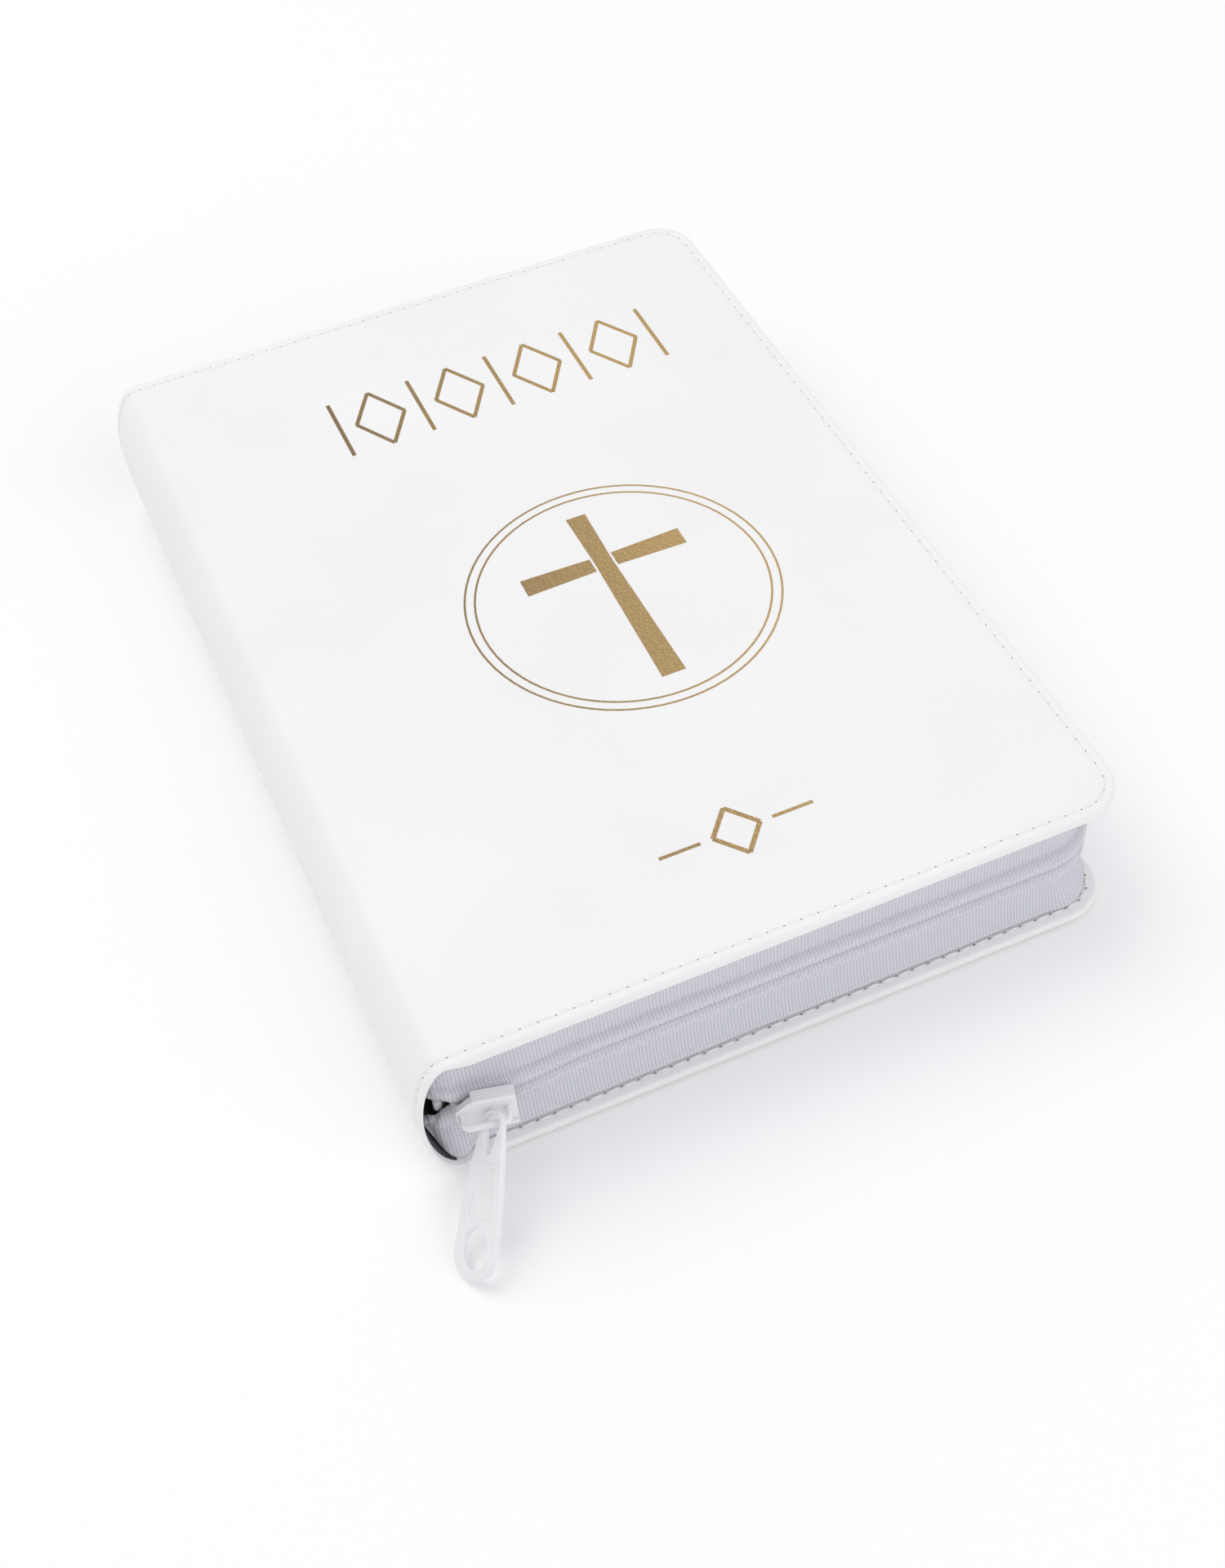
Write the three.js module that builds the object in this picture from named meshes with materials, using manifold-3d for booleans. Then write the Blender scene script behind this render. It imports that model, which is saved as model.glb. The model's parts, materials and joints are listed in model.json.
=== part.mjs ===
// Zip-round bible: a leatherette case whose covers carry the two halves of a coil zip,
// with a sewn book block inside. Millimetres. +X runs from the spine to the fore-edge,
// +Y from the tail to the head and +Z up from the table, and the origin is the centre of
// the back cover's outer face.

import * as THREE from 'three';
import { mergeVertices } from 'three/addons/utils/BufferGeometryUtils.js';
import Module from 'manifold-3d';

const wasm = await Module();
wasm.setup();

// ---- driving dimensions ----------------------------------------------------------------

const HEIGHT = 195; // tail to head
const WIDTH = 137.2; // spine bulge to fore-edge
const THICKNESS = 32.3; // table to the top of the front cover
const SPINE_BULGE = 6.7; // how far the round spine stands out from the covers
const CORNER_RADIUS = 9; // covers, at the fore-edge
const GAP = 0.3; // between pieces that lie on each other

const SKIN = 1.2; // leatherette over a board
const RIM_DEPTH = 2.6; // skin turned in and built up round the cover's edge
const RIM_WIDTH = 4; // from the cover's edge to the board's pocket
const BOARD = 1; // cover board
const LINING = 0.4; // inside of a cover
const LINING_INSET = 8; // from the cover's edge
const LINING_CORNER = 6;
const STITCH_INSET = 2; // from the cover's edge to the middle of the seam
const THREAD = 0.6; // sewing thread, across
const GROOVE = 1.2; // channel that the seam sinks into, across

const TAPE = 0.6; // zip tape, thick
const TAPE_INSET = 3; // cover edge to the tape's outer face
const TAPE_CORNER = 11; // radius of the tape's outer face at the fore-edge
const TAPE_FLANGE = 4.3; // part of the tape sewn flat inside the cover
const TAPE_EDGE_GAP = 3.6; // between the edges of the two tapes, behind the coils
const COIL_DEPTH = 1.3; // coil, across its wires, behind the tape
const COIL_WIDTH = 2.9; // one coil, along Z

const BLOCK_HEIGHT = 180; // pages, tail to head
const BLOCK_FORE = 61.5; // X of the fore-edge at the outer pages
const BLOCK_BACK = -61.2; // X of the rounded back at the outer pages
const BLOCK_ROUND = 3; // how far the back is rounded, and the fore-edge hollowed
const SECTIONS = 12; // sewn sections
const LEAF = 0.3; // flyleaf
const LEAF_TURN_X = -60.2; // where the front flyleaf is tipped on, and turns
const SECTION_TURN_X = -58; // where the first section's leaves turn
const PAGE_CORNER = 5; // rounded page corners at the fore-edge
const RIBBON_WIDTH = 5;
const RIBBON = 0.2;

const SLIDER_LENGTH = 10.5;
const SLIDER_WIDTH = 9;
const SLIDER_PLATE = 1.1;
const POST = 2.6; // post between the slider's plates, which parts the coils
const PULL_LENGTH = 26.2; // from the bridge bar to the tip
const PULL_WIDTH = 9.4; // at the round end
const PULL_EYE = 2.45; // outer radius of the end that hangs on the bar
const PULL_PLATE = 1.3;

// ---- places that follow from them ------------------------------------------------------

const FORE_X = WIDTH / 2;
const HINGE_X = -WIDTH / 2 + SPINE_BULGE; // where the covers meet the round spine
const EDGE_Y = HEIGHT / 2;
const MID_Z = THICKNESS / 2;
const COVER_X = HINGE_X + GAP; // covers start here
const LINING_Z = RIM_DEPTH + 0.2; // lining and tape flange, over the back cover
const FLYLEAF_Z = LINING_Z + LINING + 2 * GAP;
const BLOCK_LOW = FLYLEAF_Z + LEAF + GAP;
const BLOCK_HIGH = THICKNESS - BLOCK_LOW;
const SECTION_PITCH = (BLOCK_HIGH - BLOCK_LOW + GAP) / SECTIONS;
const TAIL_TAPE_Y = -EDGE_Y + TAPE_INSET; // outer face of the tape at the tail
const COIL_Y = TAIL_TAPE_Y + TAPE + GAP; // coil's outer side at the tail
const SLIDER_X = HINGE_X - 0.5;

// ---- helpers ---------------------------------------------------------------------------

const paint = {
  leatherette: { color: 0xf4f3f2, roughness: 0.55, metalness: 0 },
  board: { color: 0xb9ac97, roughness: 0.9, metalness: 0 },
  lining: { color: 0xe6e2da, roughness: 0.8, metalness: 0 },
  tape: { color: 0xcdcddc, roughness: 0.9, metalness: 0 },
  nylon: { color: 0xe4e4ee, roughness: 0.45, metalness: 0 },
  enamel: { color: 0xe8e8ea, roughness: 0.3, metalness: 0.1 },
  paper: { color: 0xf5efe2, roughness: 0.9, metalness: 0 },
  thread: { color: 0xf8f8f8, roughness: 0.7, metalness: 0 },
  ribbon: { color: 0xc9a24a, roughness: 0.5, metalness: 0 },
};

function toManifold(geometry) {
  const bare = geometry.index ? geometry.clone() : geometry;
  bare.deleteAttribute('normal');
  bare.deleteAttribute('uv');
  const merged = mergeVertices(bare, 1e-4);
  const mesh = new wasm.Mesh({
    numProp: 3,
    vertProperties: new Float32Array(merged.attributes.position.array),
    triVerts: new Uint32Array(merged.index.array),
  });
  return new wasm.Manifold(mesh);
}

function fromManifold(solid) {
  const mesh = solid.getMesh();
  const geometry = new THREE.BufferGeometry();
  geometry.setAttribute('position', new THREE.BufferAttribute(mesh.vertProperties, 3));
  geometry.setIndex(new THREE.BufferAttribute(mesh.triVerts, 1));
  return geometry;
}

const group = new THREE.Group();

function add(name, geometry, look) {
  const solid = geometry.isBufferGeometry ? toManifold(geometry) : geometry;
  const shape = fromManifold(solid);
  shape.computeVertexNormals();
  const mesh = new THREE.Mesh(shape, new THREE.MeshStandardMaterial(paint[look]));
  mesh.name = name;
  group.add(mesh);
  return mesh;
}

// A prism: the shape is drawn in X and Y and stands from low to high in Z.
function prism(shape, low, high, curveSegments = 8) {
  const options = { depth: high - low, bevelEnabled: false, curveSegments };
  const geometry = new THREE.ExtrudeGeometry(shape, options);
  geometry.translate(0, 0, low);
  return geometry;
}

// A prism that lies along Y: the shape is drawn as X and Z.
function beam(shape, low, high, curveSegments = 8) {
  const geometry = prism(shape, -high, -low, curveSegments);
  geometry.rotateX(Math.PI / 2);
  return geometry;
}

function box(low, high) {
  const geometry = new THREE.BoxGeometry(high[0] - low[0], high[1] - low[1], high[2] - low[2]);
  const middle = low.map((value, i) => (value + high[i]) / 2);
  geometry.translate(...middle);
  return geometry;
}

// Outline of a leaf or cover: square at the spine, with round corners at the fore-edge.
function leafShape(left, right, halfHeight, radius) {
  const shape = new THREE.Shape();
  shape.moveTo(left, -halfHeight);
  shape.lineTo(right - radius, -halfHeight);
  shape.absarc(right - radius, -halfHeight + radius, radius, -Math.PI / 2, 0);
  shape.lineTo(right, halfHeight - radius);
  shape.absarc(right - radius, halfHeight - radius, radius, 0, Math.PI / 2);
  shape.lineTo(left, halfHeight);
  shape.closePath();
  return shape;
}

// A band that runs round three sides of a cover, between two insets from its edge. It starts
// at tailLeft on the tail edge and ends at left on the head edge, and corner is the radius
// that it would have at no inset.
function bandShape(outerInset, innerInset, left, tailLeft = left, corner = CORNER_RADIUS) {
  const outer = corner - outerInset;
  const inner = corner - innerInset;
  const [farX, farY] = [FORE_X - outerInset, EDGE_Y - outerInset];
  const [nearX, nearY] = [FORE_X - innerInset, EDGE_Y - innerInset];
  const quarter = Math.PI / 2;
  const shape = new THREE.Shape();
  shape.moveTo(tailLeft, -farY);
  shape.lineTo(farX - outer, -farY);
  shape.absarc(farX - outer, -farY + outer, outer, -quarter, 0);
  shape.absarc(farX - outer, farY - outer, outer, 0, quarter);
  shape.lineTo(left, farY);
  shape.lineTo(left, nearY);
  shape.absarc(nearX - inner, nearY - inner, inner, quarter, 0, true);
  shape.absarc(nearX - inner, -nearY + inner, inner, 0, -quarter, true);
  shape.lineTo(tailLeft, -nearY);
  shape.closePath();
  return shape;
}

// Low and high Z of a layer: counted up from the table, or down from the top for the front.
function layer(front, low, high) {
  return front ? [THICKNESS - high, THICKNESS - low] : [low, high];
}

// ---- covers ----------------------------------------------------------------------------

function addCover(name, front) {
  const outline = leafShape(COVER_X, FORE_X, EDGE_Y, CORNER_RADIUS);
  const pocketX = COVER_X + RIM_WIDTH;
  const pocket = leafShape(pocketX, FORE_X - RIM_WIDTH, EDGE_Y - RIM_WIDTH, CORNER_RADIUS - RIM_WIDTH);
  const half = GROOVE / 2;
  const groove = bandShape(STITCH_INSET - half, STITCH_INSET + half, COVER_X - 1);
  const grooveDepth = THREAD;
  const skin = toManifold(prism(outline, ...layer(front, 0, RIM_DEPTH)))
    .subtract(toManifold(prism(pocket, ...layer(front, SKIN, RIM_DEPTH + 1))))
    .subtract(toManifold(prism(groove, ...layer(front, -1, grooveDepth))));
  add(`${name}_cover_skin`, skin, 'leatherette');

  const boardLeft = pocketX + GAP;
  const boardInset = RIM_WIDTH + GAP;
  const boardRadius = CORNER_RADIUS - boardInset;
  const board = leafShape(boardLeft, FORE_X - boardInset, EDGE_Y - boardInset, boardRadius);
  const boardLow = SKIN + GAP / 2;
  add(`${name}_cover_board`, prism(board, ...layer(front, boardLow, boardLow + BOARD)), 'board');

  const lining = leafShape(COVER_X + 1, FORE_X - LINING_INSET, EDGE_Y - LINING_INSET, LINING_CORNER);
  const liningLayer = layer(front, LINING_Z, LINING_Z + LINING);
  add(`${name}_cover_lining`, prism(lining, ...liningLayer), 'lining');

  const seam = bandShape(STITCH_INSET - THREAD / 2, STITCH_INSET + THREAD / 2, COVER_X + 1);
  add(`${name}_stitching`, prism(seam, ...layer(front, 0.05, 0.35)), 'thread');
}

// ---- spine -----------------------------------------------------------------------------

// A C-shaped strip that follows the round spine at a depth under its outer face.
function spineShape(depth, thickness) {
  const [outerX, outerZ] = [SPINE_BULGE - depth, MID_Z - depth];
  const [innerX, innerZ] = [outerX - thickness, outerZ - thickness];
  const x = HINGE_X - GAP;
  const shape = new THREE.Shape();
  const quarter = Math.PI / 2;
  shape.absellipse(x, MID_Z, outerX - GAP, outerZ, quarter, 3 * quarter, false, 0);
  shape.absellipse(x, MID_Z, innerX - GAP, innerZ, 3 * quarter, quarter, true, 0);
  shape.closePath();
  return shape;
}

function addSpine() {
  const skin = 1.2;
  const stiffener = 0.7;
  const lining = 0.4;
  const clear = GAP / 2;
  add('spine_skin', beam(spineShape(0, skin), -EDGE_Y, EDGE_Y, 14), 'leatherette');
  const stiffenerShape = spineShape(skin + clear, stiffener);
  add('spine_stiffener', beam(stiffenerShape, -EDGE_Y + 7, EDGE_Y - 7, 14), 'board');
  const liningShape = spineShape(skin + stiffener + 2 * clear, lining);
  add('spine_lining', beam(liningShape, -EDGE_Y + 8, EDGE_Y - 8, 14), 'lining');
}

// ---- zip -------------------------------------------------------------------------------

function addZipHalf(side, front) {
  const tapeEdge = MID_Z - TAPE_EDGE_GAP / 2;
  const corner = TAPE_CORNER + TAPE_INSET;
  const wall = bandShape(TAPE_INSET, TAPE_INSET + TAPE, COVER_X, COVER_X, corner);
  const flange = bandShape(TAPE_INSET, TAPE_INSET + TAPE_FLANGE, COVER_X, COVER_X, corner);
  const tape = toManifold(prism(wall, ...layer(front, LINING_Z, tapeEdge)))
    .add(toManifold(prism(flange, ...layer(front, LINING_Z, LINING_Z + LINING))));
  add(`${side}_zip_tape`, tape, 'tape');

  const coilHigh = MID_Z - GAP / 2;
  const coilOuter = TAPE_INSET + TAPE + GAP;
  const coilStart = SLIDER_X + POST + GAP; // the slider's post parts the coils before this
  const coil = bandShape(coilOuter, coilOuter + COIL_DEPTH, COVER_X, coilStart, corner);
  add(`${side}_zip_coil`, prism(coil, ...layer(front, coilHigh - COIL_WIDTH, coilHigh)), 'nylon');
}

// The ends of the tapes run on past the covers and are tucked into the open end of the spine.
function addTapeEnds() {
  const right = HINGE_X - 0.9;
  const left = right - 1.9;
  for (const [end, sign] of [['tail', -1], ['head', 1]]) {
    const faces = [sign * (EDGE_Y - TAPE_INSET), sign * (EDGE_Y - TAPE_INSET - TAPE)];
    const y = faces.sort((a, b) => a - b);
    for (const [side, front] of [['upper', true], ['lower', false]]) {
      const z = layer(front, LINING_Z + 4, MID_Z - 3.5);
      add(`${side}_tape_end_${end}`, box([left, y[0], z[0]], [right, y[1], z[1]]), 'tape');
    }
  }
}

// Stops: one on each coil where the closed slider waits, and one joined stop at the far end.
function addStops() {
  const right = HINGE_X - 0.8;
  const left = right - 1.6;
  const y = [COIL_Y + 0.9, COIL_Y + 2.1];
  for (const [side, front] of [['upper', true], ['lower', false]]) {
    const z = layer(front, MID_Z - GAP / 2 - COIL_WIDTH, MID_Z - GAP / 2);
    add(`${side}_top_stop`, box([left, y[0], z[0]], [right, y[1], z[1]]), 'nylon');
  }
  const high = MID_Z + COIL_WIDTH;
  add('bottom_stop', box([left, -y[1], MID_Z - COIL_WIDTH], [right, -y[0], high]), 'nylon');
}

// ---- slider and pull -------------------------------------------------------------------

// The outer plate, its lips and the bridge sit askew: the slider's tail stands off the tape,
// which bulges there. They are drawn square, from the head at X 0 with the lips' front at
// Y 0, then turned and moved into place.
const ASKEW = 12.7; // degrees
const HEAD = [SLIDER_X + 0.5, TAIL_TAPE_Y - 3.2]; // X and Y of the head's front
const PLATE_SUNK = 0.5; // plate's face behind the lips' front
const LIP_DEPTH = 2.4;
const BRIDGE_RADIUS = 0.52;
const BAR_OUT = 2.13; // bar's middle in front of the lips
const BAR_Z = MID_Z;
const EYE_ALONG = 6.02; // where the pull hangs on the bar, from the head

// A point of the square drawing, in the part's frame.
function askew(along, y) {
  const turn = THREE.MathUtils.degToRad(ASKEW);
  return [HEAD[0] + along * Math.cos(turn) + y * Math.sin(turn),
    HEAD[1] - along * Math.sin(turn) + y * Math.cos(turn)];
}

// A plate's outline in X and Z from its head at x: narrow there, and full width to its tail.
function sliderPlateShape(x) {
  const half = SLIDER_WIDTH / 2;
  const shape = new THREE.Shape();
  const headHalf = half * 0.4;
  shape.moveTo(x, MID_Z - headHalf);
  shape.lineTo(x + 3, MID_Z - half);
  shape.lineTo(x + SLIDER_LENGTH, MID_Z - half * 0.94);
  shape.lineTo(x + SLIDER_LENGTH, MID_Z + half * 0.94);
  shape.lineTo(x + 3, MID_Z + half);
  shape.lineTo(x, MID_Z + headHalf);
  shape.closePath();
  return shape;
}

// The bridge: a round wire that leaves the plate near its head, runs along X and comes back.
function bridgeWire() {
  const [headX, tailX] = [0.9, 8.95];
  const foot = PLATE_SUNK + 0.4;
  const bend = 0.9;
  const path = new THREE.CurvePath();
  const point = (x, y) => new THREE.Vector3(x, y, BAR_Z);
  const points = [point(headX, foot), point(headX, -BAR_OUT + bend), point(headX, -BAR_OUT)];
  points.push(point(headX + bend, -BAR_OUT), point(tailX - bend, -BAR_OUT));
  points.push(point(tailX, -BAR_OUT), point(tailX, -BAR_OUT + bend), point(tailX, foot));
  path.add(new THREE.LineCurve3(points[0], points[1]));
  path.add(new THREE.QuadraticBezierCurve3(points[1], points[2], points[3]));
  path.add(new THREE.LineCurve3(points[3], points[4]));
  path.add(new THREE.QuadraticBezierCurve3(points[4], points[5], points[6]));
  path.add(new THREE.LineCurve3(points[6], points[7]));
  const section = new THREE.Shape();
  section.absarc(0, 0, BRIDGE_RADIUS, 0, 2 * Math.PI);
  const options = { steps: 36, extrudePath: path, curveSegments: 5, bevelEnabled: false };
  return new THREE.ExtrudeGeometry(section, options);
}

function addSlider() {
  const half = SLIDER_WIDTH / 2;
  const innerFace = COIL_Y + COIL_DEPTH + GAP;
  let outer = toManifold(beam(sliderPlateShape(0), PLATE_SUNK, PLATE_SUNK + 1));
  for (const sign of [-1, 1]) {
    const z = [MID_Z + sign * (half * 0.94), MID_Z + sign * (half - 1.15)].sort((a, b) => a - b);
    outer = outer.add(toManifold(box([3, 0, z[0]], [SLIDER_LENGTH, LIP_DEPTH, z[1]])));
  }
  outer = outer.add(toManifold(bridgeWire())).rotate([0, 0, -ASKEW]);
  outer = outer.translate([HEAD[0], HEAD[1], 0]);
  const inner = toManifold(beam(sliderPlateShape(SLIDER_X), innerFace, innerFace + SLIDER_PLATE - 0.1));
  const post = box([SLIDER_X + 0.6, HEAD[1] + 0.9, MID_Z - 1.3],
    [SLIDER_X + POST, innerFace + 0.2, MID_Z + 1.3]);
  add('zip_slider', outer.add(inner).add(toManifold(post)), 'enamel');
}

// Pull tab, drawn flat: it hangs along -Y from the bridge bar at the origin.
function pullShape() {
  const shape = new THREE.Shape();
  const half = PULL_WIDTH / 2;
  const end = PULL_LENGTH - half;
  shape.absarc(0, 0, PULL_EYE, 0, Math.PI);
  shape.quadraticCurveTo(-half * 0.92, -end / 2, -half, -end);
  shape.absarc(0, -end, half, Math.PI, 2 * Math.PI);
  shape.quadraticCurveTo(half * 0.92, -end / 2, PULL_EYE, 0);
  shape.closePath();
  const eyeHole = new THREE.Path();
  eyeHole.absarc(0, 0, PULL_EYE - 0.8, 0, Math.PI);
  eyeHole.lineTo(-0.6, -4.4);
  eyeHole.absarc(0, -4.4, 0.6, Math.PI, 2 * Math.PI);
  eyeHole.closePath();
  shape.holes.push(eyeHole);
  const tipHole = new THREE.Path();
  tipHole.absellipse(0, -PULL_LENGTH + 5.4, 2.6, 3.55, 0, 2 * Math.PI);
  shape.holes.push(tipHole);
  return shape;
}

function addPull() {
  const panelShape = new THREE.Shape();
  panelShape.moveTo(-1.9, -6.3);
  panelShape.lineTo(1.9, -6.3);
  panelShape.lineTo(2.6, -PULL_LENGTH + 10.3);
  panelShape.lineTo(-2.6, -PULL_LENGTH + 10.3);
  panelShape.closePath();
  const half = PULL_PLATE / 2;
  const panel = toManifold(prism(panelShape, half - 0.3, half + 1));
  const pull = toManifold(prism(pullShape(), -half, half, 7)).subtract(panel);
  const mesh = add('pull_tab', pull, 'enamel');
  const lean = THREE.MathUtils.degToRad(34.5); // below the horizontal, so the tip meets the table
  const skew = THREE.MathUtils.degToRad(-34.8); // towards the spine
  const roll = THREE.MathUtils.degToRad(-30); // one edge up, as the eye sits askew on the bar
  mesh.rotation.set(lean, roll, skew, 'ZXY');
  mesh.position.set(...askew(EYE_ALONG, -BAR_OUT), BAR_Z);
}

// ---- book block ------------------------------------------------------------------------

// How much of the rounding a layer at this height has: 1 in the middle, 0 at the outer pages.
function rounding(z) {
  const half = (BLOCK_HIGH - BLOCK_LOW) / 2;
  return BLOCK_ROUND * (1 - ((z - MID_Z) / half) ** 2);
}

function addBlock() {
  const ribbonOver = SECTIONS / 2; // the ribbon lies on this section
  for (let i = 0; i < SECTIONS; i += 1) {
    const low = BLOCK_LOW + i * SECTION_PITCH;
    const slack = i === ribbonOver - 1 ? 2 * RIBBON + GAP : 0;
    const high = low + SECTION_PITCH - GAP - slack;
    const bend = rounding((low + high) / 2);
    const left = i === SECTIONS - 1 ? SECTION_TURN_X + 0.1 : BLOCK_BACK - bend;
    const shape = leafShape(left, BLOCK_FORE - bend, BLOCK_HEIGHT / 2, PAGE_CORNER);
    add(`section_${String(i + 1).padStart(2, '0')}`, prism(shape, low, high, 5), 'paper');
  }
  const leaf = (left) => leafShape(left, BLOCK_FORE, BLOCK_HEIGHT / 2, PAGE_CORNER);
  const leafLayer = [FLYLEAF_Z, FLYLEAF_Z + LEAF];
  add('back_flyleaf', prism(leaf(BLOCK_BACK), ...leafLayer, 5), 'paper');
  const frontLeaf = leaf(LEAF_TURN_X + 0.1);
  add('front_flyleaf', prism(frontLeaf, ...layer(true, ...leafLayer), 5), 'paper');

  const ribbonZ = BLOCK_LOW + ribbonOver * SECTION_PITCH - GAP - RIBBON - GAP;
  const ribbonX = -38;
  const half = BLOCK_HEIGHT / 2 + 1;
  const low = [ribbonX - RIBBON_WIDTH / 2, -half, ribbonZ];
  add('ribbon_marker', box(low, [ribbonX + RIBBON_WIDTH / 2, half, ribbonZ + RIBBON]), 'ribbon');
}

// Cloth glued over the rounded back of the sections that stay with the spine.
function addMull() {
  const shape = new THREE.Shape();
  const top = BLOCK_HIGH - SECTION_PITCH - GAP;
  const steps = 12;
  const cloth = 0.5;
  const backX = (z) => BLOCK_BACK - rounding(z) - 2 * GAP;
  for (let i = 0; i <= steps; i += 1) {
    const z = BLOCK_LOW + ((top - BLOCK_LOW) * i) / steps;
    if (i === 0) shape.moveTo(backX(z), z);
    else shape.lineTo(backX(z), z);
  }
  for (let i = steps; i >= 0; i -= 1) {
    const z = BLOCK_LOW + ((top - BLOCK_LOW) * i) / steps;
    shape.lineTo(backX(z) - cloth, z);
  }
  shape.closePath();
  add('block_mull', beam(shape, -BLOCK_HEIGHT / 2 + 4, BLOCK_HEIGHT / 2 - 4), 'lining');
}

// Headbands: small rolls that cap the back of the block at the head and the tail.
function addHeadbands() {
  const top = BLOCK_HIGH - SECTION_PITCH - GAP;
  const roll = 0.9;
  for (const [end, sign] of [['head', 1], ['tail', -1]]) {
    const y = [sign * (BLOCK_HEIGHT / 2 + GAP), sign * (BLOCK_HEIGHT / 2 + GAP + roll)];
    y.sort((a, b) => a - b);
    const shape = new THREE.Shape();
    const x = BLOCK_BACK - BLOCK_ROUND;
    shape.moveTo(x + 1.4, BLOCK_LOW + 1);
    shape.quadraticCurveTo(x - 1, MID_Z, x + 1.4, top);
    shape.lineTo(x + 2.7, top);
    shape.quadraticCurveTo(x + 0.3, MID_Z, x + 2.7, BLOCK_LOW + 1);
    shape.closePath();
    add(`headband_${end}`, beam(shape, y[0], y[1]), 'ribbon');
  }
}

// ---- assembly --------------------------------------------------------------------------

addCover('back', false);
addCover('front', true);
addSpine();
addZipHalf('lower', false);
addZipHalf('upper', true);
addTapeEnds();
addStops();
addSlider();
addPull();
addBlock();
addMull();
addHeadbands();

export default group;
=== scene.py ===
"""Looks of the zip-round bible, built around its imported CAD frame.

Lengths are in millimetres, turned into Blender's metres where a mesh is made. Only the
lamps and the floor are laid out in metres.
"""
import json
import math
import random

import bmesh
import bpy
import numpy as np
from mathutils import Matrix, Vector, noise


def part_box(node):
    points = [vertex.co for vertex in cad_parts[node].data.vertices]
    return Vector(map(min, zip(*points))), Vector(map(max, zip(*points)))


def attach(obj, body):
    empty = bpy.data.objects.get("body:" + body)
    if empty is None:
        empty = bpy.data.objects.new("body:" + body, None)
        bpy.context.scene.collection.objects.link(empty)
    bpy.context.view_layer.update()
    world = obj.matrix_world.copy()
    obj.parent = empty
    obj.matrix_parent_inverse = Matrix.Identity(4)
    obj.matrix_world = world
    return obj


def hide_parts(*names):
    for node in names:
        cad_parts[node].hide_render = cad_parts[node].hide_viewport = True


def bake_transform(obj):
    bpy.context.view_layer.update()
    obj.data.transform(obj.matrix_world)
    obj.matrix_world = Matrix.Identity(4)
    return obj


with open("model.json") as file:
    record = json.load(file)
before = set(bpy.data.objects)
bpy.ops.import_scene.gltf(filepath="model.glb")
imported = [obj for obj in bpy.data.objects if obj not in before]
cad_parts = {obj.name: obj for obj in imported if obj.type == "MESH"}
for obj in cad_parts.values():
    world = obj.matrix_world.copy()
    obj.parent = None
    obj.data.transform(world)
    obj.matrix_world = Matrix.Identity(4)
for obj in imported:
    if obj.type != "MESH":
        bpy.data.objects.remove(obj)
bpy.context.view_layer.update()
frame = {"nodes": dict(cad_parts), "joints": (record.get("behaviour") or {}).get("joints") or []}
MM = 0.001
random.seed(7)


# ---- sizes read from the frame ----

def cad_box(node):
    """Lowest and highest corner of a CAD node, in millimetres."""
    return tuple(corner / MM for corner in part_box(node))


GAP = 0.3  # what the CAD leaves between touching pieces
COVER_LOW, COVER_HIGH = cad_box("front_cover_skin")
FORE_X, EDGE_Y, TOP_Z = COVER_HIGH
HINGE_X = COVER_LOW.x - GAP
BULGE = HINGE_X - cad_box("spine_skin")[0].x  # the spine's reach behind the hinge line
MID_Z = TOP_Z / 2
RIM = TOP_Z - COVER_LOW.z  # cover's thickness at its edge
WIDTH = FORE_X - HINGE_X  # flat part of a cover
CORNER = 9.0  # covers' radius at the fore-edge
TAPE_OUT = -cad_box("lower_zip_tape")[0].y  # half the height over the tapes' outer faces
TAPE_CORNER = 11.0  # tapes' radius at the fore-edge
JOINTS = {joint["name"]: joint for joint in frame["joints"]}


# ---- small helpers ----

SHARP = math.radians(50)  # edges bent by more than this are shaded sharp
DOUBLED = 0.002  # points closer than this are one
UP = Vector((0, 0, 1))


def add_mesh(name, points, faces, material, smooth=True):
    """A piece from points in millimetres."""
    mesh = bpy.data.meshes.new(name)
    mesh.from_pydata([tuple(c * MM for c in p) for p in points], [], faces)
    return add_object(name, mesh, material, smooth)


def in_scene(name, data):
    """A new object in the scene."""
    made = bpy.data.objects.new(name, data)
    bpy.context.scene.collection.objects.link(made)
    return made


def add_object(name, mesh, material, smooth=True):
    """A piece from a mesh, in one material."""
    mesh.materials.clear()
    mesh.materials.append(material)
    mesh.polygons.foreach_set("use_smooth", [smooth] * len(mesh.polygons))
    mesh.update()
    if smooth:
        mesh.set_sharp_from_angle(angle=SHARP)
    return in_scene(name, mesh)


def evaluated(piece):
    """A piece's mesh with its modifiers or its curve's settings worked out."""
    graph = bpy.context.evaluated_depsgraph_get()
    return bpy.data.meshes.new_from_object(piece.evaluated_get(graph))


def outward(piece):
    """Merges doubled points and turns the faces outwards."""
    bm = bmesh.new()
    bm.from_mesh(piece.data)
    bmesh.ops.remove_doubles(bm, verts=bm.verts, dist=DOUBLED * MM)
    bmesh.ops.recalc_face_normals(bm, faces=bm.faces)
    bm.to_mesh(piece.data)
    bm.free()
    piece.data.set_sharp_from_angle(angle=SHARP)
    return piece


def strip_faces(rows, columns, first=0, close_columns=False):
    """Quads over a grid of points that are stored row by row."""
    faces = []
    for i in range(rows - 1):
        near, far = first + i * columns, first + (i + 1) * columns
        for j in range(columns if close_columns else columns - 1):
            right = (j + 1) % columns
            faces.append([near + j, near + right, far + right, far + j])
    return faces


def loft(rings):
    """Points and faces of a skin over closed rings of points, with both ends capped."""
    points = [point for row in rings for point in row]
    count = len(rings[0])
    last = len(points) - count
    faces = strip_faces(len(rings), count, close_columns=True)
    return points, faces + [list(range(count))[::-1], [last + k for k in range(count)]]


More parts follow.
